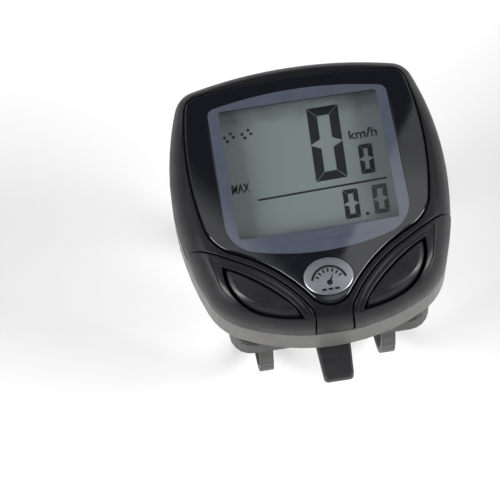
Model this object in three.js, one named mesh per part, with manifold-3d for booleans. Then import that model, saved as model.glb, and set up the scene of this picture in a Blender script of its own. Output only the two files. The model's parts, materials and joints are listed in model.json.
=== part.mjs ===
// Wireless handlebar cycling computer with its quick-release bracket.
// Millimetres. +X right, +Y away from the rider, +Z out of the display.
// The origin lies on the handlebar's axis, midway between the two cable ties.
import * as THREE from 'three';
import { mergeVertices } from 'three/addons/utils/BufferGeometryUtils.js';
import Module from 'manifold-3d';

const wasm = await Module();
wasm.setup();

// ---- driving dimensions -------------------------------------------------------------------

const BAR_R = 15.9;                       // oversize 31.8 mm handlebar
const GAP = 0.1;                          // clearance between parts that sit in one another

// Head outline seen from above: [radius, sweep in degrees] arcs from the front centre to the rear centre
const HEAD = { top: 25, arcs: [[77.24, 13.47], [4.47, 57.79], [53, 39.22], [10.28, 42.88], [34.85]] };
const LENS = { top: 21.2, arcs: [[144.5, 6.87], [2.6, 71.76], [59.3, 22.68], [7.56, 53.24], [-30.4, -29.49], [4.35]] };

const BASE_Z = 22.0;                      // underside of the head
const FLOOR_Z = 23.4;                     // inside floor of the lower case
const SPLIT_Z = 29.0;                     // joint between the two cases
const ROOF_Z = 33.2;                      // inside roof of the top case
const RECESS_Z = 34.95;                   // floor of the lens recess
const CROWN = [[0, 29.3], [0, 31], [0.25, 32.5], [0.8, 33.9], [1.6, 35], [2.6, 35.85], [4.2, 36.25]];
const CAVITY_INSET = 2.6;                 // top case wall, wing skin included

const WING = { x: 26.72, y: -36.47, r: 27.1, from: 93, to: 150, inner: 3.4 };
const WING_T = 1.1;                       // wing skin
const WING_PROUD = 0.2;                   // how far a wing stands off the case

const KEY_OUTER = { x: 6.85, y: -12.51, r: 10.95 };
const KEY_INNER = { x: 22.83, y: -31.63, r: 19.68 };
const KEY_STEM = [10.9, -17.2];

const DISPLAY = { y: 5.4, window: [28.6, 24.8], glass: [31, 27.6] };
const DOME = { z: 37.1, rx: 260, ry: 400 };  // the lens is part of a shallow dome
const BADGE = { y: -17.5, rx: 4.3, ry: 3.5, floor: 36.3 };
const BOARD = { z: 27.2, t: 1 };
const SCREWS = [[-18.9, 11.5], [18.9, 11.5], [-18.9, -5.5], [18.9, -5.5], [0, -20.3]];

const FOOT = { stem: 11.7, flange: 13.3, z: 19.75, flangeTop: 20.6, rear: -16.3, front: 16 };
const CELL = { r: 10, z: 21.75, t: 3.2 };
const COVER = { r: 10.7, neck: 9.9, lug: 11.9, lugHalf: 10, turn: 50 };

const BRACKET = { x: 17.6, rear: -21.8, front: 18, r: 3.8, z: 17.3, deck: 19.6, top: 21.7, edge: 0.4 };
const SADDLE = { x: 14, y: 14.5, z: 10.5, r: 17.2 };
const TIE = { x: 11.1, w: 2.5, inner: BAR_R + 0.15, t: 1, rise: 1.4 };
const TONGUE = { w: 6, tip: 5.3, root: -6.1, end: -29.3, z: 17.6, t: 1.6, edge: 0.35 };

// ---- solids -------------------------------------------------------------------------------

const rad = THREE.MathUtils.degToRad;
const FINE = 0.03;                        // how far a chord may leave its arc

/** Number of chords for an arc of this radius and sweep in degrees. */
function chords(r, sweep) {
  return Math.max(1, Math.ceil(rad(Math.abs(sweep)) / (2 * Math.acos(1 - FINE / Math.max(Math.abs(r), 0.3)))));
}

/** A manifold solid from a closed three.js geometry. */
function solid(geometry) {
  geometry.deleteAttribute('normal');
  geometry.deleteAttribute('uv');
  const g = mergeVertices(geometry, 1e-4);
  return new wasm.Manifold(new wasm.Mesh({
    numProp: 3,
    vertProperties: new Float32Array(g.attributes.position.array),
    triVerts: new Uint32Array(g.index.array),
  }));
}

function box([x0, x1], [y0, y1], [z0, z1]) {
  const g = new THREE.BoxGeometry(x1 - x0, y1 - y0, z1 - z0);
  return solid(g.translate((x0 + x1) / 2, (y0 + y1) / 2, (z0 + z1) / 2));
}

/** Upright cylinder. */
function post(r, [z0, z1], [x, y] = [0, 0], n = 24) {
  const g = new THREE.CylinderGeometry(r, r, z1 - z0, n).rotateX(Math.PI / 2);
  return solid(g.translate(x, y, (z0 + z1) / 2));
}

/** Upright prism of a closed list of points. */
function prism(points, [z0, z1]) {
  const shape = new THREE.Shape(points.map(([x, y]) => new THREE.Vector2(x, y)));
  const g = new THREE.ExtrudeGeometry(shape, { depth: z1 - z0, bevelEnabled: false });
  return solid(g.translate(0, 0, z0));
}

/** Prism running along X of a closed list of [y, z] points. */
function profile(points, [x0, x1]) {
  const shape = new THREE.Shape(points.map(([y, z]) => new THREE.Vector2(y, z)));
  const g = new THREE.ExtrudeGeometry(shape, { depth: x1 - x0, bevelEnabled: false });
  g.applyMatrix4(new THREE.Matrix4().makeBasis(
    new THREE.Vector3(0, 1, 0), new THREE.Vector3(0, 0, 1), new THREE.Vector3(1, 0, 0)));
  return solid(g.translate(x0, 0, 0));
}

/** Solid of revolution about a vertical axis. */
function lathe(points, n = 32) {
  const g = new THREE.LatheGeometry(points.map(([r, z]) => new THREE.Vector2(r, z)), n);
  return solid(g.rotateX(Math.PI / 2));
}

/** Solid through rings of equal length, bottom first; each ring holds [x, y, z] points, anticlockwise. */
function loft(rings) {
  const n = rings[0].length;
  const index = [];
  for (let k = 0; k + 1 < rings.length; k++) {
    for (let i = 0; i < n; i++) {
      const [a, b] = [k * n + i, k * n + (i + 1) % n];
      index.push(a, b, b + n, a, b + n, a + n);
    }
  }
  const cap = (ring) => THREE.ShapeUtils.triangulateShape(ring.map(([x, y]) => new THREE.Vector2(x, y)), []);
  const last = (rings.length - 1) * n;
  cap(rings[0]).forEach(([a, b, c]) => index.push(a, c, b));
  cap(rings.at(-1)).forEach(([a, b, c]) => index.push(last + a, last + b, last + c));
  const g = new THREE.BufferGeometry();
  g.setAttribute('position', new THREE.Float32BufferAttribute(rings.flat(2), 3));
  g.setIndex(index);
  return solid(g);
}

function union(...parts) {
  return parts.reduce((a, b) => a.add(b));
}

// ---- outlines -----------------------------------------------------------------------------

/** Closed outline, symmetrical about x = 0, of tangent arcs; `inset` moves every arc inwards. */
function outline({ top, arcs }, inset = 0) {
  const swept = arcs.reduce((sum, [, sweep = 0]) => sum + sweep, 0);
  const half = [[0, top - inset]];
  let heading = 0;
  let [x, y] = half[0];
  for (const [radius, sweep = 180 - swept] of arcs) {
    const r = radius - inset;
    const [cx, cy] = [x + r * Math.sin(heading), y - r * Math.cos(heading)];
    const steps = chords(radius, sweep);
    for (let i = 1; i <= steps; i++) {
      const a = heading - rad(sweep) * i / steps;
      half.push([cx - r * Math.sin(a), cy + r * Math.cos(a)]);
    }
    heading -= rad(sweep);
    [x, y] = half.at(-1);
  }
  half.at(-1)[0] = 0;
  const mirrored = half.slice(1, -1).map(([px, py]) => [-px, py]);
  return [...mirrored, ...half.reverse()];
}

function at(points, z) {
  return points.map(([x, y]) => [x, y, z]);
}

/** The crown of the head, its surface moved inwards by `inset` and up by `lift`. */
function crown(inset, lift, floor = CROWN[0][1] + lift) {
  const deepest = CROWN.at(-1)[0];
  const levels = CROWN.map(([d, z]) => [Math.min(d + inset, deepest), z + lift]);
  levels[0][1] = floor;
  return loft(levels.map(([d, z]) => at(outline(HEAD, d), z)));
}

function arc({ x, y, r }, from, to, n) {
  return Array.from({ length: n + 1 }, (_, i) => {
    const a = rad(from + (to - from) * i / n);
    return [x + r * Math.cos(a), y + r * Math.sin(a)];
  });
}

/** Plan of the right-hand wing, grown outwards by `grow`. */
function wingPlan(grow) {
  const border = arc({ ...WING, r: WING.r + grow }, WING.from, WING.to, 12);
  const inner = WING.inner - grow;
  return [...border, [inner, border.at(-1)[1] - 0.6], [inner, -28], [28, -28], [28, border[0][1]]];
}

/** Leaf between two circles: the plan of the right-hand key, moved inwards by `inset`. */
function leaf(inset) {
  const [a, b] = [KEY_OUTER, KEY_INNER].map((c) => ({ ...c, r: c.r - inset }));
  const [dx, dy] = [b.x - a.x, b.y - a.y];
  const d = Math.hypot(dx, dy);
  const along = (d * d + a.r * a.r - b.r * b.r) / (2 * d);
  const half = Math.sqrt(a.r * a.r - along * along);
  const tip = (s) => [a.x + (dx * along - s * dy * half) / d, a.y + (dy * along + s * dx * half) / d];
  const angle = (c, [x, y]) => (THREE.MathUtils.radToDeg(Math.atan2(y - c.y, x - c.x)) + 360) % 360;
  const [lower, upper] = [tip(-1), tip(1)];
  const unwrap = (from, to) => (to < from ? to + 360 : to);
  const [a0, b0] = [angle(a, lower), angle(b, upper)];
  const outer = arc(a, a0, unwrap(a0, angle(a, upper)), 10);
  const inner = arc(b, b0, unwrap(b0, angle(b, lower)), 10);
  return [...outer.slice(0, -1), ...inner.slice(0, -1)];
}

function roundRect(w, h, r, [cx, cy] = [0, 0]) {
  const corners = [[1, 1, 0], [-1, 1, 90], [-1, -1, 180], [1, -1, 270]];
  return corners.flatMap(([sx, sy, a]) =>
    arc({ x: cx + sx * (w / 2 - r), y: cy + sy * (h / 2 - r), r }, a, a + 90, 5));
}

function ellipse(rx, ry, [cx, cy], n = 32) {
  return arc({ x: 0, y: 0, r: 1 }, 0, 360, n).slice(0, -1).map(([x, y]) => [cx + rx * x, cy + ry * y]);
}

/** Sector of a disc, angles anticlockwise from +X. */
function sector(r, from, to, z) {
  return prism([[0, 0], ...arc({ x: 0, y: 0, r }, from, to, 8)], z);
}

const flip = (part, side) => (side > 0 ? part : part.mirror([1, 0, 0]));
const both = (make) => union(flip(make(), 1), flip(make(), -1));

// ---- head: outside ------------------------------------------------------------------------

function topCase() {
  const seatForWing = prism(wingPlan(GAP), [28, 38]).subtract(crown(WING_T + 0.15, -WING_T - 0.15, 28));
  const cavity = loft([at(outline(HEAD, CAVITY_INSET), 29), at(outline(HEAD, CAVITY_INSET), ROOF_Z)]);
  const [w, h] = DISPLAY.window;
  const bosses = SCREWS.map((p) => post(2.1, [29.35, ROOF_Z + 0.3], p));
  const bores = SCREWS.map((p) => post(1.05, [29, ROOF_Z - 0.1], p, 12));
  return crown(0, 0)
    .subtract(cavity)
    .subtract(prism(outline(LENS), [RECESS_Z, 40]))
    .subtract(prism(roundRect(w, h, 1, [0, DISPLAY.y]), [30, 36]))
    .add(union(...bosses))
    .subtract(union(...bores))
    .subtract(both(() => seatForWing))
    .subtract(both(() => prism(leaf(0), [29, 40])));
}

function wing(side) {
  const skin = crown(-WING_PROUD, WING_PROUD, 29.35).subtract(crown(WING_T, -WING_T, 28));
  return flip(skin.intersect(prism(wingPlan(-GAP / 2), [28, 40])).subtract(prism(leaf(0), [28, 40])), side);
}

/** Leaf-shaped button: cap through the wing, retaining flange under the roof, stem down to the dome. */
function key(side) {
  const cap = prism(leaf(0.3), [ROOF_Z - 1, 38]).intersect(crown(0, -0.1));
  const room = loft([at(outline(HEAD, 3), 30), at(outline(HEAD, 3), 34)]);
  const flange = prism(leaf(-0.7), [ROOF_Z - 1, ROOF_Z - 0.3]).intersect(room);
  return flip(union(cap, flange, post(1.2, [29.3, ROOF_Z - 0.8], KEY_STEM, 16)), side);
}

/** Clear window, gently domed, with a seat for the badge. */
function lens() {
  const edge = outline(LENS, GAP);
  const height = (x, y) => DOME.z - x * x / (2 * DOME.rx) - y * y / (2 * DOME.ry);
  const ring = (s) => edge.map(([x, y]) => [x * s, y * s, height(x * s, y * s)]);
  const body = loft([at(edge, RECESS_Z + GAP), ...[1, 0.75, 0.5, 0.25].map(ring)]);
  return body.subtract(prism(ellipse(BADGE.rx + GAP, BADGE.ry + GAP, [0, BADGE.y]), [BADGE.floor, 38]));
}

function badge() {
  const ring = (s, z) => at(ellipse(BADGE.rx * s, BADGE.ry * s, [0, BADGE.y]), z);
  const z = BADGE.floor;
  return loft([ring(1, z + 0.05), ring(1, z + 0.6), ring(0.94, z + 0.7), ring(0.5, z + 0.85)]);
}

function bottomCase() {
  const level = (inset, z) => at(outline(HEAD, inset), z);
  const shell = loft([
    level(1.2, BASE_Z), level(0.35, BASE_Z + 0.45), level(-0.1, FLOOR_Z), level(-0.15, SPLIT_Z + 0.1)]);
  const room = loft([level(2, FLOOR_Z), level(2, 30)]);
  const rebate = loft([level(0.55, SPLIT_Z - 0.3), level(0.55, 30)]);
  const y = [FOOT.rear, FOOT.front];
  const foot = union(
    box([-FOOT.flange, FOOT.flange], y, [FOOT.z, FOOT.flangeTop]),
    box([-FOOT.stem, FOOT.stem], y, [FOOT.z, BASE_Z + 0.2]));
  const bosses = SCREWS.map((p) => post(2.3, [BASE_Z + 0.2, SPLIT_Z - 0.35], p));
  const bores = SCREWS.flatMap((p) => [post(1.1, [21, 30], p, 12), post(2, [21, FLOOR_Z], p)]);
  return shell.subtract(room).subtract(rebate)
    .add(union(foot, post(11.6, [BASE_Z + 0.2, 25.6], [0, 0], 40), ...bosses))
    .subtract(union(...bores, batteryBay()));
}

/** Cell chamber, cover bore, bayonet tracks and the slot for the positive contact. */
function batteryBay() {
  const open = 90 - COVER.turn;
  const tracks = [0, 180].flatMap((a) => [
    sector(12.2, a + open - 13, a + 103, [20.25, 20.85]),
    sector(12.2, a + open - 13, a + open + 13, [FOOT.z - 1, 20.3]),
  ]);
  return union(
    post(11, [FOOT.z - 1, 20.8], [0, 0], 40), post(10.9, [20.7, 21.7], [0, 0], 40),
    post(10.4, [21.6, 26], [0, 0], 40), box([-11.1, -9], [-2, 2], [22.3, 26]), ...tracks);
}

// ---- head: inside -------------------------------------------------------------------------

function gasket() {
  const z = [SPLIT_Z - 0.25, SPLIT_Z + 0.25];
  return prism(outline(HEAD, 0.8), z).subtract(prism(outline(HEAD, 1.7), [z[0] - 1, z[1] + 1]));
}

/** Two bonded glass plates, the lower one with a contact ledge. */
function displayGlass() {
  const [w, h] = DISPLAY.glass;
  const [y0, y1] = [DISPLAY.y - h / 2, DISPLAY.y + h / 2];
  return union(
    box([-w / 2, w / 2], [y0, y1], [32.2, 33.1]),
    box([-w / 2, w / 2], [y0 + 1.2, y1 - 1.2], [31.4, 32.2]));
}

function displayHolder() {
  const [w, h] = DISPLAY.glass;
  const ring = (grow) => roundRect(w + grow, h + grow, 0.6, [0, DISPLAY.y]);
  return prism(ring(2.2), [28.25, 32.8]).subtract(prism(ring(0.6), [28, 33]));
}

/** Conductive rubber strip from the board up to the glass ledge. */
function zebraStrip(side) {
  const y = DISPLAY.y + side * 12.6;
  const ends = [[28.25, 32.15], [28.25, 31.35]];
  const [ledge, body] = ends;
  const inner = y - side * 0.9;
  const outer = y + side * 0.9;
  const step = y + side * 0.15;
  return union(
    box([-13.5, 13.5], [Math.min(inner, outer), Math.max(inner, outer)], body),
    box([-13.5, 13.5], [Math.min(step, outer), Math.max(step, outer)], ledge));
}

function circuitBoard() {
  const z = [BOARD.z, BOARD.z + BOARD.t];
  const notches = SCREWS.map((p) => post(2.7, [20, 30], p, 20));
  return prism(outline(HEAD, 3.2), z).subtract(union(...notches));
}

/** Thin snap dome under a key. */
function snapDome(side) {
  const z = BOARD.z + BOARD.t + 0.02;
  const shell = [[0, 0.95], [1.1, 0.85], [2, 0.45], [2.4, 0.02], [2.2, 0], [1.8, 0.3], [1, 0.68], [0, 0.78]];
  const [x, y] = KEY_STEM;
  return lathe(shell.map(([r, h]) => [r, h]).reverse(), 20).translate([side * x, y, z]);
}

function chip() {
  const z = BOARD.z - 0.02;
  return lathe([[0, -1.3], [1.6, -1.2], [2.8, -0.7], [3.1, 0], [0, 0]], 20).translate([15, 2, z]);
}

function crystal() {
  const g = new THREE.CylinderGeometry(1, 1, 6, 16);
  return solid(g.translate(-15.2, 1, BOARD.z - 1.05));
}

function antennaCore() {
  const g = new THREE.CylinderGeometry(0.95, 0.95, 20, 16).rotateZ(Math.PI / 2);
  return solid(g.translate(0, 16.6, 25.3));
}

function antennaCoil() {
  const tube = (r, w) => solid(new THREE.CylinderGeometry(r, r, w, 20).rotateZ(Math.PI / 2));
  return tube(1.6, 12).subtract(tube(1.05, 14)).translate([0, 16.6, 25.3]);
}

function cell() {
  const [z, r] = [CELL.z, CELL.r];
  return lathe([[0, z], [r - 0.3, z], [r, z + 0.3], [r, z + 2.7], [r - 0.5, z + 2.9],
    [r - 1.1, z + 2.9], [r - 1.3, z + CELL.t], [0, z + CELL.t]], 40);
}

/** Leaf spring from the board down onto the top of the cell. */
function contactNegative() {
  const path = [[-9, 27.1], [-6, 27.1], [0, 25.25], [1.5, 25.6]];
  const t = 0.22;
  const strip = [...path, ...path.map(([x, z]) => [x, z - t]).reverse()];
  const shape = new THREE.Shape(strip.map(([x, z]) => new THREE.Vector2(x, z)));
  const g = new THREE.ExtrudeGeometry(shape, { depth: 3, bevelEnabled: false });
  return solid(g.rotateX(Math.PI / 2).translate(0, 1.5, 0));
}

function contactPositive() {
  return union(
    box([-10.4, -10.15], [-1.5, 1.5], [22.6, 27.1]),
    box([-13, -10.15], [-1.5, 1.5], [26.85, 27.1]));
}

/** Bayonet cover with a coin slot, turned to open. */
function batteryCover() {
  const lugs = [90, 270].map((a) => sector(COVER.lug, a - COVER.lugHalf, a + COVER.lugHalf, [20.35, 20.75]));
  return union(post(COVER.r, [19.95, 20.75], [0, 0], 40), post(COVER.neck, [20.7, 21.6], [0, 0], 32), ...lugs)
    .subtract(box([-6.5, 6.5], [-0.9, 0.9], [19, 20.9]));
}

function coverSeal() {
  const g = new THREE.TorusGeometry(10.4, 0.35, 8, 36);
  return solid(g.translate(0, 0, 21.15));
}

function caseScrew([x, y]) {
  const body = union(post(1.75, [22.15, 23.35], [0, 0], 16), post(0.9, [23.3, 32.6], [0, 0], 10));
  const cross = union(box([-1.1, 1.1], [-0.25, 0.25], [22, 22.8]), box([-0.25, 0.25], [-1.1, 1.1], [22, 22.8]));
  return body.subtract(cross).translate([x, y, 0]);
}

// ---- mount --------------------------------------------------------------------------------

/** Closed [y, z] curve round the bar, raised over the top to pass through the bracket. */
function strapCurve(offset, n = 40) {
  const r = TIE.inner + offset;
  return arc({ x: 0, y: 0, r: 1 }, 0, 360, n).slice(0, -1)
    .map(([c, s]) => [r * c, (s > 0 ? r + TIE.rise : r) * s]);
}

function bracket() {
  const [w, h] = [2 * BRACKET.x, BRACKET.front - BRACKET.rear];
  const plan = (d) => roundRect(w - 2 * d, h - 2 * d, BRACKET.r - d, [0, (BRACKET.front + BRACKET.rear) / 2]);
  const { edge, z, top } = BRACKET;
  const slideY = [FOOT.rear - 0.3, 30];
  const half = TIE.w / 2 + 0.3;
  return loft([at(plan(edge), z), at(plan(0), z + edge), at(plan(0), top - edge), at(plan(edge), top)])
    .add(box([-SADDLE.x, SADDLE.x], [-SADDLE.y, SADDLE.y], [SADDLE.z, BRACKET.z + 0.2]))
    .subtract(box([-FOOT.flange - 0.3, FOOT.flange + 0.3], slideY, [BRACKET.deck, FOOT.flangeTop + 0.3]))
    .subtract(box([-FOOT.stem - 0.3, FOOT.stem + 0.3], slideY, [BRACKET.deck, 25]))
    .subtract(profile(arc({ x: 0, y: 0, r: SADDLE.r }, 0, 360, 48).slice(0, -1), [-20, 20]))
    .subtract(both(() => profile(strapCurve(TIE.t + 0.3), [TIE.x - half, TIE.x + half])))
    .subtract(box([-TONGUE.w / 2 - 0.4, TONGUE.w / 2 + 0.4], [-24, TONGUE.root + 0.3], [9, BRACKET.deck]));
}

/** Rubber lining between the bracket and the bar. */
function rubberPad() {
  const [inner, outer] = [BAR_R + 0.05, SADDLE.r - 0.1];
  const band = [...arc({ x: 0, y: 0, r: outer }, 40, 140, 20), ...arc({ x: 0, y: 0, r: inner }, 140, 40, 20)];
  return profile(band, [-9.2, 9.2]);
}

/** Sprung tongue under the head; its end is pressed down to free the head. */
function releaseTab() {
  const { z, t, edge } = TONGUE;
  const plan = (d) => {
    const [w, tip, end, r] = [TONGUE.w / 2 - d, TONGUE.tip / 2 - d, TONGUE.end + d, 0.8 - d];
    return [[-w, TONGUE.root], [-w, -23],
      ...arc({ x: -tip + r, y: end + r, r }, 180, 270, 4),
      ...arc({ x: tip - r, y: end + r, r }, 270, 360, 4),
      [w, -23], [w, TONGUE.root]];
  };
  const blade = loft([at(plan(0), z), at(plan(0), z + t - edge), at(plan(edge), z + t)]);
  const top = [z + t - 0.1, FOOT.z - 0.3];
  const detent = profile([[-15.9, top[0]], [-14.2, top[0]], [-15.5, top[1]], [-15.9, top[1]]], [-2, 2]);
  return union(blade, detent);
}

/** Cable tie closed round the bar, with its locking head low on the far side. */
function cableTie(side) {
  const x = [TIE.x - TIE.w / 2, TIE.x + TIE.w / 2];
  const strap = profile(strapCurve(TIE.t), x).subtract(profile(strapCurve(0), [x[0] - 1, x[1] + 1]));
  const r = TIE.inner + TIE.t;
  const head = box([TIE.x - 2.3, TIE.x + 2.3], [r - 0.5, r + 2.6], [-2.4, 2.4]);
  const tail = box([TIE.x - 1.2, TIE.x + 1.2], [r + 0.4, r + 1.4], [2.3, 4.2]);
  return flip(union(strap, union(head, tail).rotate([-38, 0, 0])), side);
}

// ---- assembly -----------------------------------------------------------------------------

const MATERIALS = {
  case_black: [0x2b2b30, 0.5, 0],
  lens_black: [0x15151a, 0.12, 0],
  key_black: [0x232328, 0.45, 0],
  case_grey: [0x8a8985, 0.55, 0],
  bracket_grey: [0x7c7b77, 0.6, 0],
  tie_grey: [0x83827e, 0.5, 0],
  tab_black: [0x303032, 0.6, 0],
  rubber: [0x1d1d1f, 0.9, 0],
  badge_silver: [0xb9bbc4, 0.3, 0.8],
  display: [0x6b7778, 0.25, 0],
  board_green: [0x1f5a3a, 0.5, 0],
  silicone: [0xc9c4ba, 0.8, 0],
  inner_plastic: [0xd8d8d4, 0.6, 0],
  spring_steel: [0xb8babd, 0.35, 0.9],
  cell_steel: [0xc6c8ca, 0.3, 0.9],
  screw_steel: [0x9a9ca0, 0.35, 0.9],
  ferrite: [0x2e2c2b, 0.7, 0],
  copper: [0xb4693a, 0.4, 0.8],
};

const group = new THREE.Group();

function add(name, part, slot) {
  const { vertProperties, triVerts } = part.getMesh();
  const g = new THREE.BufferGeometry();
  g.setAttribute('position', new THREE.BufferAttribute(new Float32Array(vertProperties), 3));
  g.setIndex(new THREE.BufferAttribute(new Uint32Array(triVerts), 1));
  const [color, roughness, metalness] = MATERIALS[slot];
  const mesh = new THREE.Mesh(g, new THREE.MeshStandardMaterial({ name: slot, color, roughness, metalness }));
  mesh.name = name;
  group.add(mesh);
}

const SIDES = [['left', -1], ['right', 1]];

add('top_case', topCase(), 'case_black');
add('lens', lens(), 'lens_black');
add('badge', badge(), 'badge_silver');
add('bottom_case', bottomCase(), 'case_grey');
add('case_gasket', gasket(), 'silicone');
add('display_glass', displayGlass(), 'display');
add('display_holder', displayHolder(), 'inner_plastic');
add('zebra_front', zebraStrip(1), 'silicone');
add('zebra_rear', zebraStrip(-1), 'silicone');
add('circuit_board', circuitBoard(), 'board_green');
add('chip', chip(), 'ferrite');
add('crystal', crystal(), 'cell_steel');
add('antenna_core', antennaCore(), 'ferrite');
add('antenna_coil', antennaCoil(), 'copper');
add('coin_cell', cell(), 'cell_steel');
add('contact_negative', contactNegative(), 'spring_steel');
add('contact_positive', contactPositive(), 'spring_steel');
add('battery_cover', batteryCover(), 'case_grey');
add('cover_seal', coverSeal(), 'rubber');
SCREWS.forEach((p, i) => add(`case_screw_${i + 1}`, caseScrew(p), 'screw_steel'));
add('bracket', bracket(), 'bracket_grey');
add('rubber_pad', rubberPad(), 'rubber');
add('release_tab', releaseTab(), 'tab_black');
for (const [name, side] of SIDES) {
  add(`${name}_wing`, wing(side), 'case_black');
  add(`${name}_key`, key(side), 'key_black');
  add(`${name}_dome`, snapDome(side), 'spring_steel');
  add(`${name}_tie`, cableTie(side), 'tie_grey');
}

export default group;
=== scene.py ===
"""Visual model of a wireless handlebar cycling computer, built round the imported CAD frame.

Metres, +X right, +Y away from the rider, +Z out of the display. The origin is on the handlebar's axis.
Shapes are worked out in millimetres and scaled once, when a mesh is made. Each outer piece of the head
is a shell: a plan triangulated through that piece's outlines, lifted by its height functions.
"""
import json
import math

import bmesh
import bpy
import numpy as np
from mathutils import Matrix, Vector
from mathutils.geometry import delaunay_2d_cdt


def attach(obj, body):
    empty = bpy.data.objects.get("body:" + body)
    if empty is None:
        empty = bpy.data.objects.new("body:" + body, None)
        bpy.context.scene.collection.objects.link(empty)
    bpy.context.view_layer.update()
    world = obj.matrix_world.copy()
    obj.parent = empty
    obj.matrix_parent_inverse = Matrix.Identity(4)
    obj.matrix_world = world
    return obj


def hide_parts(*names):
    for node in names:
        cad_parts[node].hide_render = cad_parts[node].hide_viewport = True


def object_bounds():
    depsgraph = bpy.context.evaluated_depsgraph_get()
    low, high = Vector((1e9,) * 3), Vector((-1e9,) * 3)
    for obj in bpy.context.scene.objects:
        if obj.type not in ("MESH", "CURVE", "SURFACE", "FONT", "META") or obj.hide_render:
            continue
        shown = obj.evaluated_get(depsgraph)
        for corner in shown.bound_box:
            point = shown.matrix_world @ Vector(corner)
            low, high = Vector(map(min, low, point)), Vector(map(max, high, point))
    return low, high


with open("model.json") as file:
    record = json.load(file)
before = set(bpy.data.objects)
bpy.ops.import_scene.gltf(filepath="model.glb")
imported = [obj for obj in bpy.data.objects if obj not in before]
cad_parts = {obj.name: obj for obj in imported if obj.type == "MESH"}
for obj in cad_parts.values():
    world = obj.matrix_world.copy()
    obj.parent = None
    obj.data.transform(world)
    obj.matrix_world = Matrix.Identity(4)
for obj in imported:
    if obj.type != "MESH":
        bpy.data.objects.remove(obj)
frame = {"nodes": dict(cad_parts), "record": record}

CAD_BOX = [list(v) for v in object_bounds()]
MM = 0.001

# ---- dimensions, in millimetres -----------------------------------------------------------------

# Outlines seen from above: (radius, sweep in degrees) arcs from the front centre to the rear centre
HEAD = (25, [(77.24, 13.47), (4.47, 57.79), (53, 39.22), (10.28, 42.88), (34.85, 26.64)])
LENS = (21.2, [(144.5, 6.87), (2.6, 71.76), (59.3, 22.68), (7.56, 53.24), (-30.4, -29.49), (4.337, 54.94)])
PRINT = (18.5, [(77.2, 10.9), (1.45, 78.5), (6000, 0.2), (6.1, 73.3), (39.622, 17.1)])

# The crown's section, as (inset from the outline, height)
CROWN = [(0, 29.3), (0, 31), (0.25, 32.5), (0.8, 33.9), (1.6, 35), (2.6, 35.85), (4.2, 36.25)]
RIM_Z = 29.3
ROOF_Z = 33.2
RECESS_Z = 34.95
WALL = 2.0
FLATTENING = (3.4, 3.8)          # insets of two more loops, where the crown turns flat
EDGE = 0.2                       # radius of the edges along the seams
LIP = 0.01                       # plan width of a step's wall

WING = {"x": 26.72, "y": -36.47, "r": 26.9, "start": 120, "turn": 149, "hook": 3.0, "end": 215}
WING_T = 1.1                     # a wing's skin
WING_PROUD = 0.2                 # how far a wing stands off the case
SEAT = 1.25                      # how far the case is sunk under a wing
SEAM = 0.14                      # half of the gap between wing and case
PLATEAU = {"rim": 0.62, "drop": 0.28, "width": 0.22}
# The plateau's step grows fainter by this share, as x and y fall through these spans
FAINT = {"share": 0.7, "x": (4, 10), "y": (-24, -20)}
# Clockwise chains of arcs: where each starts, its heading in degrees, and (radius, sweep) arcs
CREASE = ((20.1, -8.2), -101, [(400, 1.02), (7.5, 50), (40, 20)])
KEY_OUTER = ((17.6, -11.8), -90, [(400, 0.29), (8.7, 65), (22, 26)])
KEY_INNER = (31.1, -41.0, 31.4)
KEY_STEM = (10.9, -17.2)
KEY = {"gap_in": 0.25, "gap_out": 0.55, "floor": 32.2, "bevel": 0.75, "edge": 0.22, "soft": 0.12}
KEY_FACE = {"limit": 36.0, "sunk": 0.02, "slope": 0.55, "tilt": 0.09}   # slope on the bevel, tilt inside it
KEY_STEM_R = 1.2

DOME = {"z": 37.1, "rx": 260, "ry": 400}        # the lens's crown, with its radii along x and y
LENS_GAP = 0.16
LENS_BEVEL = 0.26
POCKET_GAP = LENS_GAP - 0.02     # the recess's wall stands this far outside the lens outline
BADGE = {"y": -17.6, "rx": 4.3, "ry": 3.5, "floor": 36.3, "rise": 0.84, "dome": 0.2, "edge": 0.2}
BADGE_SEAT = 0.1                 # gap round the badge
WINDOW = {"x": 13.9, "rear": -8.5, "front": 16.3, "r": 0.6}
OPENING = {"x": 14.3, "rear": -7.9, "front": 17.8, "r": 1.0}
LCD_Z = 33.1

CAMERA = {
    "target": (0, 3.2, 33),       # a point on the display face
    "azimuth": -6.0,
    "elevation": 66.0,
    "roll": -3.15,
    "distance": 546.2,
    "offset": (10.2, 12.8),       # how far the target lies right and up of the frame's centre
    "lens": 226.8,
}

# ---- outlines -----------------------------------------------------------------------------------

FINE = 0.002                     # how far a chord may leave its arc
CHORD = 0.45                     # longest chord
FAR = 1e3                        # depth beside none of an outline's arcs, taken as far outside


def chords(radius, sweep):
    """Number of chords for an arc of this radius and sweep in degrees."""
    r, angle = max(abs(radius), 0.05), math.radians(abs(sweep))
    return max(1, math.ceil(angle / (2 * math.acos(max(1 - FINE / r, 0.9)))), math.ceil(angle * r / CHORD))


def arc(centre, radius, start, end):
    """Points from one angle to another, both in degrees, ends included."""
    n = chords(radius, end - start)
    angles = [math.radians(start + (end - start) * i / n) for i in range(n + 1)]
    return [(centre[0] + radius * math.cos(a), centre[1] + radius * math.sin(a)) for a in angles]


def chain(start, heading, arcs):
    """Tangent arcs laid clockwise from a point, listed anticlockwise. A negative radius is hollow."""
    laid = []
    (x, y), h = start, math.radians(heading)
    for radius, sweep in arcs:
        turned = h - math.radians(sweep)
        cx, cy = x + radius * math.sin(h), y - radius * math.cos(h)
        x, y = cx - radius * math.sin(turned), cy + radius * math.cos(turned)
        normal = math.copysign(90, radius)
        laid.append((cx, cy, abs(radius), math.degrees(turned) + normal, math.degrees(h) + normal))
        h = turned
    return laid[::-1]


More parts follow.
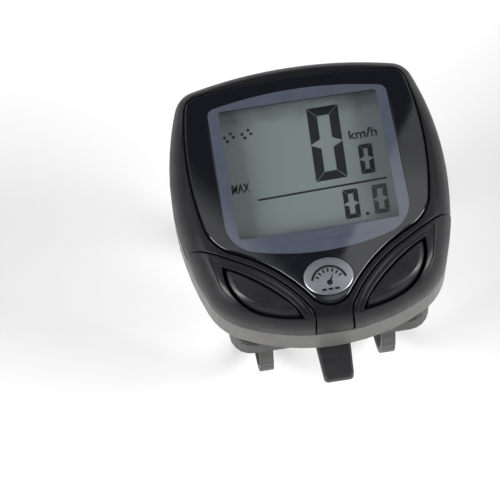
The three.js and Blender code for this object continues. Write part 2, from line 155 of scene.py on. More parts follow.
class Outline:
    """Arcs (x, y, radius, start, end) laid anticlockwise round an inside. One laid clockwise is hollow."""

    def __init__(self, arcs):
        self.arcs = arcs

    @classmethod
    def symmetrical(cls, top, arcs):
        """Outline from arcs laid from the front centre to the rear centre, and their mirror image."""
        right = chain((0, top), 0, arcs)
        return cls(right + cls(right).mirrored().arcs)

    def mirrored(self):
        return Outline([(-x, y, r, 180 - b, 180 - a) for x, y, r, a, b in self.arcs[::-1]])

    def line(self, inset=0.0):
        """Points along the arcs, all moved inwards."""
        points = []
        for x, y, r, a, b in self.arcs:
            points += arc((x, y), r - inset if b > a else r + inset, a, b)[:-1]
        x, y, r, a, b = self.arcs[-1]
        return points + [arc((x, y), r - inset if b > a else r + inset, a, b)[-1]]

    def depth(self, points):
        """How deep inside the outline each point lies, negative outside and beside none of the arcs."""
        best = np.full(len(points), -FAR)
        for x, y, r, a, b in self.arcs:
            dx, dy = points[:, 0] - x, points[:, 1] - y
            side = (r - np.hypot(dx, dy)) * (1 if b > a else -1)
            turn = (np.degrees(np.arctan2(dy, dx)) - min(a, b) + 1e-6) % 360
            near = (turn < abs(b - a) + 2e-6) & (np.abs(side) < np.abs(best))
            best = np.where(near, side, best)
        return best


def wing_border():
    """Border of the right wing's seat: straight, a long arc, a hook at its rear end and a straight tail."""
    start, turn, end = WING["start"], WING["turn"], WING["end"]
    straight, hook = 400, WING["hook"]   # a straight stretch is an arc of a very large radius

    def beside(x, y, reach, angle):
        return x + reach * math.cos(math.radians(angle)), y + reach * math.sin(math.radians(angle))

    lead = beside(WING["x"], WING["y"], WING["r"] - straight, start)
    bend = beside(WING["x"], WING["y"], WING["r"] - hook, turn)
    tail = beside(*bend, hook - straight, end)
    return Outline([(*lead, straight, start - 2, start), (WING["x"], WING["y"], WING["r"], start, turn),
                    (*bend, hook, turn, end), (*tail, straight, end, end + 1)])


def closed(points):
    return points + points[:1]


def round_rect(place, grow=0.0):
    """Rounded rectangle, symmetrical about x = 0."""
    r = place["r"] + grow
    x = place["x"] + grow - r
    rear, front = place["rear"] - grow + r, place["front"] + grow - r
    corners = [((x, front), 0), ((-x, front), 90), ((-x, rear), 180), ((x, rear), 270)]
    return closed([p for centre, a in corners for p in arc(centre, r, a, a + 90)])


def in_rect(points, place, grow=0.0):
    """How deep inside a rounded rectangle each point lies, negative outside."""
    half = (place["front"] - place["rear"]) / 2
    qx = np.abs(points[:, 0]) - place["x"] + place["r"]
    qy = np.abs(points[:, 1] - place["rear"] - half) - half + place["r"]
    outside = np.hypot(np.maximum(qx, 0), np.maximum(qy, 0)) + np.minimum(np.maximum(qx, qy), 0)
    return place["r"] + grow - outside


def ellipse(rx, ry, centre):
    n = chords(max(rx, ry), 360)
    angles = [2 * math.pi * i / n for i in range(n)]
    return [(centre[0] + rx * math.cos(a), centre[1] + ry * math.sin(a)) for a in angles]


def disc(x, y, r):
    return ellipse(r, r, (x, y))


# ---- plan geometry ------------------------------------------------------------------------------


REACH = 27                       # the grid of spare points runs this far from the centre
BATCH = 500                      # grid points compared with the lines at a time


def spare_points(lines, spacing):
    """Staggered grid points that stand clear of every line."""
    steps = np.arange(-REACH, REACH, spacing)
    grid = np.array([(x + (spacing / 2 if j % 2 else 0), y) for j, y in enumerate(steps) for x in steps])
    placed = np.array([p for line in lines for p in line])
    clear = np.ones(len(grid), bool)
    for k in range(0, len(grid), BATCH):
        part = grid[k:k + BATCH]
        near = ((part[:, None, :] - placed[None]) ** 2).sum(2).min(1)
        clear[k:k + BATCH] = near > (0.55 * spacing) ** 2
    return [tuple(p) for p in grid[clear]]


def triangulate(lines, spacing=0.8):
    """Plan points and triangles through every line."""
    points, edges = [], []
    for line in lines:
        n = len(points)
        points += line
        edges += [(n + i, n + i + 1) for i in range(len(line) - 1)]
    points += spare_points(lines, spacing)
    verts, _, faces, *_ = delaunay_2d_cdt([Vector(p) for p in points], edges, [], 0, 1e-5)
    return np.array([tuple(v) for v in verts]), np.array(faces)


def rounding(depth, radius):
    """How far a rounded edge drops at this depth inside its border."""
    s = np.clip(depth, 0, radius)
    return radius - np.sqrt(np.maximum(radius ** 2 - (radius - s) ** 2, 0))


def rounding_steps(radius, n=4):
    """Depths at which a rounded edge needs a loop."""
    return [radius * (1 - math.cos(math.pi / 2 * i / n)) for i in range(n + 1)]


def smooth_step(x, low, high):
    """Nought below low, one above high, and a smooth rise between them."""
    t = np.clip((x - low) / (high - low), 0, 1)
    return t * t * (3 - 2 * t)


def crown_curve():
    """The crown's section as a smooth curve of insets and heights, from the outline inwards."""
    before = (-0.02, 29.4)       # stands in for the first point, so that the curve starts nearly upright
    p = [Vector(q) for q in [before] + CROWN[1:]]
    p.append(p[-1] * 2 - p[-2])
    curve = []
    n = 32
    for a, b, c, d in zip(p, p[1:], p[2:], p[3:]):
        for i in range(n):
            t = i / n
            curve.append(0.5 * (2 * b + (c - a) * t + (2 * a - 5 * b + 4 * c - d) * t * t
                                + (3 * b - a - 3 * c + d) * t ** 3))
    curve.append(p[-2])
    return np.maximum.accumulate([max(v.x, 0) for v in curve]), np.array([v.y for v in curve])


CROWN_D, CROWN_H = crown_curve()


def crown_height(inset):
    """Height of the crown at this inset from the head's outline."""
    return np.interp(inset, CROWN_D, CROWN_H)


def crown_insets():
    """Insets that carry the crown's curve, about a quarter of a millimetre apart along it."""
    picked = [0.0]
    last = (0.0, CROWN_H[0])
    for d, z in zip(CROWN_D, CROWN_H):
        if math.hypot(d - last[0], z - last[1]) >= 0.24 and d - picked[-1] > 0.004:
            picked.append(float(d))
            last = (d, z)
    return picked


# ---- meshes -------------------------------------------------------------------------------------


def link(name, data):
    """A new object in the scene."""
    obj = bpy.data.objects.new(name, data)
    bpy.context.scene.collection.objects.link(obj)
    return obj


def soften(obj, angle=32):
    """Smooth shading, with the edges sharper than this angle kept."""
    mesh = bmesh.new()
    mesh.from_mesh(obj.data)
    for face in mesh.faces:
        face.smooth = True
    for edge in mesh.edges:
        edge.smooth = edge.is_manifold and edge.calc_face_angle(0) < math.radians(angle)
    mesh.to_mesh(obj.data)
    mesh.free()


def mesh_object(name, points, faces, materials, picks=None, normals=None):
    """An object of points in millimetres, with each face's material and each corner's normal if given."""
    data = bpy.data.meshes.new(name)
    places = [tuple(c * MM for c in p) for p in points]
    data.from_pydata(places, [], [tuple(int(i) for i in f) for f in faces])
    for material in materials:
        data.materials.append(material)
    if picks is not None:
        data.polygons.foreach_set("material_index", np.array(picks, np.int32))
    obj = link(name, data)
    soften(obj)
    if normals is not None:
        data.normals_split_custom_set(normals)
    return obj


def corner_normals(flat, triangles, top):
    """The surface's own normal at each triangle's corners, or none where the triangle is a step's wall."""
    step = 1e-4                  # for slopes
    inwards = 0.05               # corners are sampled this share of the way to the triangle's centre
    corners = flat[triangles]
    inner = corners + inwards * (corners.mean(1, keepdims=True) - corners)
    p = inner.reshape(-1, 2)
    rise_x = (top(p + (step, 0)) - top(p - (step, 0))) / (2 * step)
    rise_y = (top(p + (0, step)) - top(p - (0, step))) / (2 * step)
    normals = np.stack([-rise_x, -rise_y, np.ones(len(p))], 1)
    normals /= np.linalg.norm(normals, axis=1, keepdims=True)
    high = np.column_stack([corners.reshape(-1, 2), top(corners.reshape(-1, 2))]).reshape(-1, 3, 3)
    faces = np.cross(high[:, 1] - high[:, 0], high[:, 2] - high[:, 0])
    faces /= np.maximum(np.linalg.norm(faces, axis=1, keepdims=True), 1e-12)
    agree = (normals * np.repeat(faces, 3, axis=0)).sum(1) > math.cos(math.radians(25))
    return np.where(agree[:, None], normals, 0)


def cut_plan(plan, inside):
    """Points, triangles and triangle centres of the part of a plan whose centres are inside."""
    points, triangles = plan
    centres = points[triangles].mean(1)
    chosen = inside(centres)
    used, triangles = np.unique(triangles[chosen], return_inverse=True)
    return points[used], triangles.reshape(-1, 3), centres[chosen]


def shell_faces(triangles, n):
    """Upper triangles, the same n points further on and turned over, and walls, with the walls' number."""
    edges = {edge for a, b, c in triangles for edge in ((a, b), (b, c), (c, a))}
    rim = sorted((a, b) for a, b in edges if (b, a) not in edges)
    faces = [tuple(t) for t in triangles] + [(a + n, c + n, b + n) for a, b, c in triangles]
    return faces + [(a, a + n, b + n, b) for a, b in rim], len(rim)


def shell(name, plan, inside, top, under, materials, pick=None, side=1, extra=()):
    """A closed shell over the plan triangles whose centres are inside, from under up to top."""
    flat, triangles, centres = cut_plan(plan, inside)
    solid = [(x, y, z) for surface in (top, under) for (x, y), z in zip(flat, surface(flat))]
    faces, walls = shell_faces(triangles, len(flat))
    plain = np.zeros(len(triangles), int)
    above, below = pick(centres) if pick else (plain, plain)
    picks = [*above, *below] + [0] * walls
    for more_points, more_faces in extra:
        faces += [tuple(i + len(solid) for i in f) for f in more_faces]
        picks += [0] * len(more_faces)
        solid += more_points
    shaped = corner_normals(flat, triangles, top)
    if side < 0:
        solid = [(-x, y, z) for x, y, z in solid]
        faces = [f[::-1] for f in faces]
        shaped = shaped.reshape(-1, 3, 3)[:, ::-1].reshape(-1, 3) * (-1, 1, 1)
    normals = np.zeros((sum(len(f) for f in faces), 3))
    normals[:len(shaped)] = shaped
    return mesh_object(name, solid, faces, materials, picks, normals=normals)


def prism(points, low, high):
    """Points and faces of an upright prism of an anticlockwise outline."""
    n = len(points)
    solid = [(x, y, low) for x, y in points] + [(x, y, high) for x, y in points]
    sides = [(i, (i + 1) % n, (i + 1) % n + n, i + n) for i in range(n)]
    return solid, [tuple(range(n))[::-1], tuple(range(n, 2 * n)), *sides]


# ---- materials ----------------------------------------------------------------------------------


class Paint:
    """A material round one Principled shader, with helpers that wire procedural detail into it."""

    def __init__(self, name, colour, roughness, metallic=0.0, specular=0.5):
        self.material = bpy.data.materials.new(name)
        self.material.use_nodes = True
        self.tree = self.material.node_tree
        self.shader = self.tree.nodes["Principled BSDF"]
        self.set("Base Color", (*colour, 1))
        self.set("Roughness", roughness)
        self.set("Metallic", metallic)
        self.set("Specular IOR Level", specular)
        self.colour, self.roughness = colour, roughness
        self.place = self.tree.nodes.new("ShaderNodeTexCoord").outputs["Object"]

    def set(self, socket, value):
        self.shader.inputs[socket].default_value = value

    def node(self, kind, **settings):
        node = self.tree.nodes.new(kind)
        for key, value in settings.items():
            setattr(node, key, value)
        return node

    def link(self, output, target):
        self.tree.links.new(output, target)

    def noise(self, size, detail=2.0, stretch=(1, 1, 1)):
        """Noise whose features measure about this many millimetres."""
        mapping = self.node("ShaderNodeMapping")
        mapping.inputs["Scale"].default_value = stretch
        self.link(self.place, mapping.inputs["Vector"])
        noise = self.node("ShaderNodeTexNoise")
        noise.inputs["Scale"].default_value = 1 / (size * MM)
        noise.inputs["Detail"].default_value = detail
        self.link(mapping.outputs["Vector"], noise.inputs["Vector"])
        return noise.outputs["Fac"]

    def ramp(self, value, low, high, to_low, to_high):
        """A value mapped from one range to another."""
        node = self.node("ShaderNodeMapRange")
        sockets = ("From Min", "From Max", "To Min", "To Max")
        for socket, number in zip(sockets, (low, high, to_low, to_high)):
            node.inputs[socket].default_value = number
        self.link(value, node.inputs["Value"])
        return node.outputs["Result"]

    def tint(self, value, strength, low=0.3, high=0.7):
        """The colour made darker and lighter by a share, where the value is low and high."""
        mix = self.node("ShaderNodeMix", data_type="RGBA")
        dark = tuple(c * (1 - strength) for c in self.colour)
        light = tuple(min(c * (1 + strength), 1) for c in self.colour)
        mix.inputs["A"].default_value = (*dark, 1)
        mix.inputs["B"].default_value = (*light, 1)
        self.link(self.ramp(value, low, high, 0, 1), mix.inputs["Factor"])
        self.link(mix.outputs["Result"], self.shader.inputs["Base Color"])
        return self

    def vary_roughness(self, value, spread):
        """The roughness lowered and raised by this spread, where the value is low and high."""
        ends = (max(self.roughness - spread, 0.02), min(self.roughness + spread, 1))
        self.link(self.ramp(value, 0.3, 0.7, *ends), self.shader.inputs["Roughness"])
        return self

    def bump(self, value, height, strength=1.0):
        """Relief of this height in millimetres."""
        node = self.node("ShaderNodeBump")
        node.inputs["Strength"].default_value = strength
        node.inputs["Distance"].default_value = height * MM
        self.link(value, node.inputs["Height"])
        self.link(node.outputs["Normal"], self.shader.inputs["Normal"])
        return self


def moulded(name, colour, roughness, grain=0.2, relief=0.014, mottle=0.2, specular=0.5):
    """Moulded plastic: a fine spark-eroded grain, and broad faint changes of tone and gloss."""
    paint = Paint(name, colour, roughness, specular=specular)
    fine = paint.noise(grain, 3)
    broad = paint.noise(3.5, 4)
    paint.bump(fine, relief)
    paint.tint(paint.noise(0.5, 5), mottle)
    paint.vary_roughness(broad, 0.07)
    return paint.material


def glossy_print(name, colour, specular=0.5):
    """Print seen through a hard-coated lens: glossy, with hairline scratches and faint smears."""
    paint = Paint(name, colour, 0.045, specular=specular)
    paint.tint(paint.noise(2.5, 3), 0.06)
    paint.vary_roughness(paint.noise(5, 5, (1, 3, 1)), 0.025)
    paint.bump(paint.noise(0.2, 2, (0.06, 1, 1)), 0.0002, 0.4)
    return paint.material


def clear_window(name):
    """The lens where nothing is printed: mostly see-through, with the same gloss."""
    paint = Paint(name, (0.01, 0.012, 0.012), 0.04)
    paint.vary_roughness(paint.noise(5, 5, (1, 3, 1)), 0.02)
    clear = paint.node("ShaderNodeBsdfTransparent")
    clear.inputs["Color"].default_value = (0.95, 0.97, 0.96, 1)
    mix = paint.node("ShaderNodeMixShader")
    mix.inputs["Fac"].default_value = 0.1
    paint.link(clear.outputs["BSDF"], mix.inputs[1])
    paint.link(paint.shader.outputs["BSDF"], mix.inputs[2])
    paint.link(mix.outputs["Shader"], paint.tree.nodes["Material Output"].inputs["Surface"])
    return paint.material


def brushed(name, colour, roughness, stretch=(0.03, 1, 1), size=0.12, relief=0.0008):
    """Metal with fine brushing along one direction."""
    paint = Paint(name, colour, roughness, metallic=1.0)
    lines = paint.noise(size, 4, stretch)
    paint.tint(lines, 0.1)
    paint.vary_roughness(lines, 0.08)
    paint.bump(lines, relief, 0.6)
    return paint.material


def rubbery(name, colour, roughness=0.85):
    """Matt rubber, mottled, with a fine uneven skin."""
    paint = Paint(name, colour, roughness, specular=0.35)
    paint.tint(paint.noise(1.2, 5), 0.18)
    paint.bump(paint.noise(0.3, 4), 0.012)
    paint.vary_roughness(paint.noise(2, 3), 0.06)
    return paint.material


def circuit_mask(name):
    """Solder mask over copper tracks, which show as lighter raised bands."""
    paint = Paint(name, (0.012, 0.11, 0.045), 0.35)
    brick = paint.node("ShaderNodeTexBrick")
    brick.inputs["Scale"].default_value = 160
    brick.inputs["Mortar Size"].default_value = 0.03
    paint.link(paint.place, brick.inputs["Vector"])
    paint.tint(brick.outputs["Fac"], 0.35, 0, 1)
    paint.bump(brick.outputs["Fac"], 0.03)
    paint.vary_roughness(paint.noise(1, 3), 0.06)
    return paint.material


def lcd_face(name):
    """Grey-green polariser over a diffusing reflector, mottled, with painted shade along its front edge for
    the shadow of the opening's rim.
    """
    paint = Paint(name, (0.172, 0.188, 0.198), 0.42, specular=0.3)
    axes = paint.node("ShaderNodeSeparateXYZ")
    paint.link(paint.tree.nodes["Texture Coordinate"].outputs["Generated"], axes.inputs[0])
    patchy = paint.ramp(paint.noise(4.5, 4), 0.3, 0.7, -0.06, 0.06)
    # Painted shade: the colour darkens over the front fifth of the face, for the shadow cast by the
    # opening's front wall. Noise makes the shade's border uneven.
    edge = paint.node("ShaderNodeMath", operation="ADD")
    paint.link(axes.outputs["Y"], edge.inputs[0])
    paint.link(patchy, edge.inputs[1])
    paint.tint(edge.outputs[0], 0.28, low=1.0, high=0.8)
    paint.bump(paint.noise(0.08, 2), 0.002)
    paint.vary_roughness(paint.noise(2, 3), 0.05)
    return paint.material


PAINTS = {
    "case_black": moulded("case_black", (0.006, 0.006, 0.0075), 0.42, specular=0.25),
    "wing_black": moulded("wing_black", (0.006, 0.006, 0.0075), 0.38, specular=0.28),
    "key_black": moulded("key_black", (0.008, 0.008, 0.0095), 0.36, specular=0.42, grain=0.1, relief=0.004),
    "case_grey": moulded("case_grey", (0.098, 0.097, 0.094), 0.48, mottle=0.05, relief=0.004),
    "bracket_grey": moulded("bracket_grey", (0.040, 0.0396, 0.0385), 0.55, mottle=0.06, relief=0.006),
    "tie_grey": moulded("tie_grey", (0.032, 0.0317, 0.0308), 0.5, mottle=0.06, relief=0.005),
    "tab_black": moulded("tab_black", (0.010, 0.010, 0.0115), 0.55),
    "inner_plastic": moulded("inner_plastic", (0.66, 0.66, 0.64), 0.5, mottle=0.04),
    "ferrite": moulded("ferrite", (0.035, 0.032, 0.03), 0.6, grain=0.2, relief=0.02),
    "lens_black": glossy_print("lens_black", (0.0058, 0.0062, 0.0088)),
    "lens_print": glossy_print("lens_print", (0.056, 0.064, 0.088)),
    "lens_clear": clear_window("lens_clear"),
    "badge_silver": brushed("badge_silver", (0.36, 0.37, 0.41), 0.36),
    "badge_ink": moulded("badge_ink", (0.006, 0.006, 0.008), 0.5, specular=0.2),
    "display": lcd_face("display"),
    "segment": moulded("segment", (0.012, 0.012, 0.015), 0.35, relief=0.001),
    # Painted reflection: a paler segment colour that stands in for glare the lens reflects over the
    # display's lower right.
    "segment_painted_glare": moulded("segment_painted_glare", (0.045, 0.05, 0.052), 0.35, relief=0.001),
    "board_green": circuit_mask("board_green"),
    "silicone": rubbery("silicone", (0.5, 0.48, 0.43), 0.7),
    "rubber": rubbery("rubber", (0.015, 0.015, 0.015)),
    "spring_steel": brushed("spring_steel", (0.66, 0.67, 0.68), 0.3),
    "cell_steel": brushed("cell_steel", (0.7, 0.71, 0.72), 0.26, stretch=(1, 0.05, 1)),
    "screw_steel": brushed("screw_steel", (0.5, 0.51, 0.53), 0.34, stretch=(1, 1, 1)),
    "copper": brushed("copper", (0.62, 0.26, 0.13), 0.3, stretch=(1, 0.05, 0.05), size=0.3, relief=0.05),
}


def finish(obj, body, slot, *nodes):
    """Gives a piece its body and hides the CAD nodes named, which it stands in for. The slot is not used.
    """
    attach(obj, body)
    if nodes:
        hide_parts(*nodes)
    return obj


# ---- head: case, wings and keys -----------------------------------------------------------------

HEAD_AREA = Outline.symmetrical(*HEAD)
LENS_AREA = Outline.symmetrical(*LENS)
PRINT_AREA = Outline.symmetrical(*PRINT)
BORDER = wing_border()
CREASE_LINE = Outline(chain(*CREASE))
KEY_SIDES = (Outline(chain(*KEY_OUTER)), Outline([(*KEY_INNER, 108, 152)]))


def both_sides(points, depth):
    """The deeper of a right-hand depth and its mirror image."""
    return np.maximum(depth(points), depth(points * (-1, 1)))


def leaf_depth(points, outer_gap=0.0, inner_gap=0.0):
    """How deep inside the right key's opening each point lies, with each side moved inwards."""
    outer, inner = KEY_SIDES
    return np.minimum(outer.depth(points) - outer_gap, inner.depth(points) - inner_gap)


def leaf_lines(outer_gap=0.0, inner_gap=0.0):
    """The two sides of the right key's opening, each moved inwards."""
    outer, inner = KEY_SIDES
    return [outer.line(outer_gap), inner.line(inner_gap)]


def mirrored(lines):
    """Lines on the right, and the same on the left."""
    return lines + [[(-x, y) for x, y in line] for line in lines]


def top_case():
    """Black upper shell: crown, lens recess with the display opening, and a sunk seat under each wing."""
    lines = [HEAD_AREA.line(d) for d in crown_insets() + [SEAT, WALL, WALL + LIP, *FLATTENING]]
    lines += [LENS_AREA.line(-POCKET_GAP - s) for s in rounding_steps(EDGE) + [-LIP]]
    lines += [round_rect(OPENING)]
    lines += mirrored(leaf_lines() + [BORDER.line(-SEAM - s) for s in rounding_steps(EDGE) + [-LIP]])
    plan = triangulate(lines)

    def wing_side(p):
        return both_sides(p, BORDER.depth) + SEAM

    def inside(p):
        hole = np.maximum(both_sides(p, leaf_depth), in_rect(p, OPENING))
        head = HEAD_AREA.depth(p)
        return (head > 0) & (hole < 0) & ~((wing_side(p) > 0) & (head < SEAT))

    def top(p):
        head, wing = HEAD_AREA.depth(p), wing_side(p)
        pocket = LENS_AREA.depth(p) + POCKET_GAP
        crown = crown_height(head) - rounding(-wing, EDGE) - rounding(-pocket, EDGE)
        crown = np.where(pocket > LIP / 2, RECESS_Z, crown)
        return np.where(wing > LIP / 2, crown_height(head) - SEAT, crown)

    def under(p):
        return np.where(HEAD_AREA.depth(p) > WALL + LIP / 2, ROOF_Z, RIM_Z)

    obj = shell("upper_shell", plan, inside, top, under, [PAINTS["case_black"]])
    return finish(obj, "head", "case_black", "top_case")


def wing_height(p):
    """Outer face of the right wing: crown, a rim along the border, and a plateau sunk inside a crease."""
    head = HEAD_AREA.depth(p) + WING_PROUD
    sink = np.minimum(BORDER.depth(p) - SEAM - PLATEAU["rim"], CREASE_LINE.depth(p))
    faint = FAINT["share"]
    for values, (low, high) in ((p[:, 0], FAINT["x"]), (p[:, 1], FAINT["y"])):
        faint = faint * (1 - smooth_step(values, low, high))
    step = PLATEAU["drop"] * smooth_step(sink, 0, PLATEAU["width"]) * (1 - faint)
    return crown_height(head) + WING_PROUD - step


def wing(side):
    """Raised surround of a key: a skin over the crown with a skirt, worked out on the right."""
    name = "left" if side < 0 else "right"
    rim, steps = PLATEAU["rim"], [PLATEAU["width"] * t for t in (0, 0.2, 0.4, 0.6, 0.8, 1)]
    skirt = WING_T - WING_PROUD
    lines = [HEAD_AREA.line(d - WING_PROUD) for d in crown_insets()]
    lines += [HEAD_AREA.line(skirt), HEAD_AREA.line(skirt + LIP)]
    lines += [CREASE_LINE.line(s) for s in steps]
    lines += [BORDER.line(SEAM + s) for s in rounding_steps(EDGE) + [rim + s for s in steps]]
    lines += [line for s in rounding_steps(EDGE) for line in leaf_lines(-s, -s)]
    plan = triangulate(lines, 0.7)

    def inside(p):
        return (HEAD_AREA.depth(p) > -WING_PROUD) & (BORDER.depth(p) > SEAM) & (leaf_depth(p) < 0)

    def top(p):
        return wing_height(p) - rounding(BORDER.depth(p) - SEAM, EDGE) - rounding(-leaf_depth(p), EDGE)

    def under(p):
        head = HEAD_AREA.depth(p) + WING_PROUD
        return np.where(head > WING_T + LIP / 2, crown_height(head) + WING_PROUD - WING_T, RIM_Z + 0.05)

    obj = shell(f"{name}_surround", plan, inside, top, under, [PAINTS["wing_black"]], side=side)
    return finish(obj, "head", "case_black", f"{name}_wing")


def key(side):
    """Leaf-shaped button, tilted towards its inner edge, with a bevel along its outer edge."""
    name = "left" if side < 0 else "right"
    gaps = (KEY["gap_out"], KEY["gap_in"])
    edge, bevel = KEY["edge"], KEY["bevel"]
    lines = [line for s in rounding_steps(edge) for line in leaf_lines(gaps[0] + s, gaps[1] + s)]
    lines += [KEY_SIDES[0].line(gaps[0] + bevel * t) for t in (0.5, 0.75, 0.9, 1, 1.1, 1.25, 1.5)]
    plan = triangulate(lines, 0.45)

    def inside(p):
        return leaf_depth(p, *gaps) > 0

    def soft_ramp(x):
        return (np.sqrt(x ** 2 + KEY["soft"] ** 2) + x) / 2

    def top(p):
        out = KEY_SIDES[0].depth(p) - gaps[0]
        base = np.minimum(crown_height(HEAD_AREA.depth(p)), KEY_FACE["limit"]) - KEY_FACE["sunk"]
        fall = KEY_FACE["slope"] * soft_ramp(bevel - out) + KEY_FACE["tilt"] * soft_ramp(out - bevel)
        return base - fall - rounding(leaf_depth(p, *gaps), edge)

    def under(p):
        return np.full(len(p), KEY["floor"])

    stem = prism(disc(*KEY_STEM, KEY_STEM_R), RIM_Z, KEY["floor"] + 0.1)
    obj = shell(f"{name}_button_cap", plan, inside, top, under, [PAINTS["key_black"]],
                side=side, extra=[stem])
    return finish(obj, f"{name}_button", "key_black", f"{name}_key")


# ---- head: lens, display and badge --------------------------------------------------------------


def dome_height(p):
    """Height of the lens's outer face."""
    return DOME["z"] - p[:, 0] ** 2 / (2 * DOME["rx"]) - p[:, 1] ** 2 / (2 * DOME["ry"])


def badge_line(grow=0.0):
    """The badge's oval, made larger by this much all round."""
    return closed(ellipse(BADGE["rx"] + grow, BADGE["ry"] + grow, (0, BADGE["y"])))


def in_badge(points, grow=0.0):
    """Near the rim, how deep inside the badge's oval each point lies, negative outside."""
    rx, ry = BADGE["rx"] + grow, BADGE["ry"] + grow
    u = np.hypot(points[:, 0] / rx, (points[:, 1] - BADGE["y"]) / ry)
    return (1 - u) * (rx + ry) / 2


def lens():
    """Domed window: printed black behind, with a blue-grey frame round the clear part."""
    reach = 2.2                  # the clear part is wider at the back, so that nothing shades the display
    lines = [LENS_AREA.line(LENS_GAP + s) for s in rounding_steps(LENS_BEVEL, 5)]
    lines += [PRINT_AREA.line(), round_rect(WINDOW), round_rect(WINDOW, reach)]
    lines += [badge_line(BADGE_SEAT - s) for s in (0, LIP)]
    plan = triangulate(lines, 0.9)

    def inside(p):
        return LENS_AREA.depth(p) > LENS_GAP

    def top(p):
        height = dome_height(p) - 0.8 * rounding(LENS_AREA.depth(p) - LENS_GAP, LENS_BEVEL)
        return np.where(in_badge(p, BADGE_SEAT) > LIP / 2, BADGE["floor"], height)

    def under(p):
        return np.full(len(p), RECESS_Z + 0.1)

    def pick(p):
        printed = np.where(PRINT_AREA.depth(p) > 0, 1, 0)
        return np.where(in_rect(p, WINDOW) > 0, 2, printed), np.where(in_rect(p, WINDOW, reach) > 0, 2, 0)

    paints = [PAINTS[n] for n in ("lens_black", "lens_print", "lens_clear")]
    obj = shell("domed_lens", plan, inside, top, under, paints, pick)
    return finish(obj, "head", "lens_black", "lens")


SEGMENT_Z = (LCD_Z + 0.01, LCD_Z + 0.05)
SLANT = {"x": 0.035, "y": 0.028, "centre": (3, 4)}   # the display's characters lean a little
BOLDER = 0.012                                        # how much thicker the letters are, in their own units


def slanted(x, y):
    """A point of the display's print, leaning."""
    dx, dy = x - SLANT["centre"][0], y - SLANT["centre"][1]
    return x + SLANT["x"] * dy, y + SLANT["y"] * dx


def zero(left, right, rear, front, stroke, gap):
    """Outlines of the six bars of a seven-segment nought, mitred where they meet."""
    mid = (rear + front) / 2
    g = gap / 2
    h = stroke / 2
    across = [(left + g, front), (left + stroke + g * 0.5, front - stroke),
              (right - stroke - g * 0.5, front - stroke), (right - g, front)]
    upper = [(left, front - g), (left, mid + g), (left + stroke, mid + h + g),
             (left + stroke, front - stroke - g)]
    bars = []
    for flip_y in (False, True):
        bars.append([(x, rear + front - y) for x, y in across][::-1] if flip_y else across)
        for flip_x in (False, True):
            bar = [(left + right - x, y) for x, y in upper][::-1] if flip_x else upper
            bars.append([(x, rear + front - y) for x, y in bar][::-1] if flip_y else bar)
    return bars


def flat_piece(name, outlines, paint):
    """Thin printed shapes on the display, in one object."""
    points, faces = [], []
    for shape in outlines:
        more, sides = prism([slanted(x, y) for x, y in shape], *SEGMENT_Z)
        faces += [tuple(i + len(points) for i in f) for f in sides]
        points += more
    obj = mesh_object(name, points, faces, [PAINTS[paint]])
    return finish(obj, "head", "display")


def label(name, text, box, paint):
    """Generic text on the display, fitted to a box of (left, right, rear, front)."""
    left, right, rear, front = box
    curve = bpy.data.curves.new(name, "FONT")
    curve.body = text
    curve.offset = BOLDER
    obj = link(f"{name}_curve", curve)
    bpy.context.view_layer.update()
    data = bpy.data.meshes.new_from_object(obj.evaluated_get(bpy.context.evaluated_depsgraph_get()))
    bpy.data.objects.remove(obj)
    co = np.array([v.co for v in data.vertices])
    lo, hi = co.min(0), co.max(0)
    mesh = bmesh.new()
    mesh.from_mesh(data)
    for v in mesh.verts:
        x = left + (v.co.x - lo[0]) / (hi[0] - lo[0]) * (right - left)
        y = rear + (v.co.y - lo[1]) / (hi[1] - lo[1]) * (front - rear)
        v.co = [c * MM for c in (*slanted(x, y), SEGMENT_Z[0])]
    raised = bmesh.ops.extrude_face_region(mesh, geom=mesh.faces[:])
    for v in (g for g in raised["geom"] if isinstance(g, bmesh.types.BMVert)):
        v.co.z = SEGMENT_Z[1] * MM
    bmesh.ops.recalc_face_normals(mesh, faces=mesh.faces[:])
    mesh.to_mesh(data)
    mesh.free()
    data.materials.clear()
    data.materials.append(PAINTS[paint])
    return finish(link(name, data), "head", "display")


def display_content():
    """Noughts for the speed and the highest speed, with a rule, a unit, a mark and signal dots."""
    fine = (0.82, 0.14)          # stroke and gap of the small noughts
    big = zero(1.2, 6.7, 1.85, 16.0, 1.65, 0.2)
    small = zero(9.2, 11.6, 1.8, 7.45, *fine)
    tens = zero(5.4, 8.0, -6.1, -0.6, *fine)
    tenths = zero(10.5, 13.1, -6.1, -0.6, *fine)
    rule = [(-9.3, 0.2), (13.4, 0.2), (13.4, 0.55), (-9.3, 0.55)]
    pairs = ((-13.4, 12.9), (-12.3, 13.5), (-10.3, 13.0), (-9.2, 13.6))
    dots = [disc(x + dx, y + dy, 0.27) for x, y in pairs for dx, dy in ((-0.22, 0.38), (0.22, -0.38))]
    dark = big + small + tens + [rule, disc(9.2, -5.7, 0.32)]
    flat_piece("display_segments", dark, "segment")
    # Painted reflection: the tenths nought is drawn in the paler colour, for glare over the display's lower
    # right.
    flat_piece("display_glare_faded_segment", tenths, "segment_painted_glare")
    flat_piece("display_signal_dots", dots, "segment")
    label("display_unit", "km/h", (7.9, 12.8, 8.7, 10.5), "segment")
    label("display_mode", "MAX", (-13.5, -10.4, 2.3, 4.0), "segment")


def badge_height(p):
    """Height of the badge's domed face."""
    u = (p[:, 0] / BADGE["rx"]) ** 2 + ((p[:, 1] - BADGE["y"]) / BADGE["ry"]) ** 2
    return BADGE["floor"] + BADGE["rise"] - BADGE["dome"] * u


def badge():
    """Oval silver badge, domed, with a rounded edge."""
    plan = triangulate([badge_line(-s) for s in rounding_steps(BADGE["edge"])], 0.6)

    def top(p):
        return badge_height(p) - rounding(in_badge(p), BADGE["edge"])

    def under(p):
        return np.full(len(p), BADGE["floor"] + 0.05)

    obj = shell("oval_badge", plan, lambda p: in_badge(p) > 0, top, under, [PAINTS["badge_silver"]])
    return finish(obj, "head", "badge_silver", "badge")


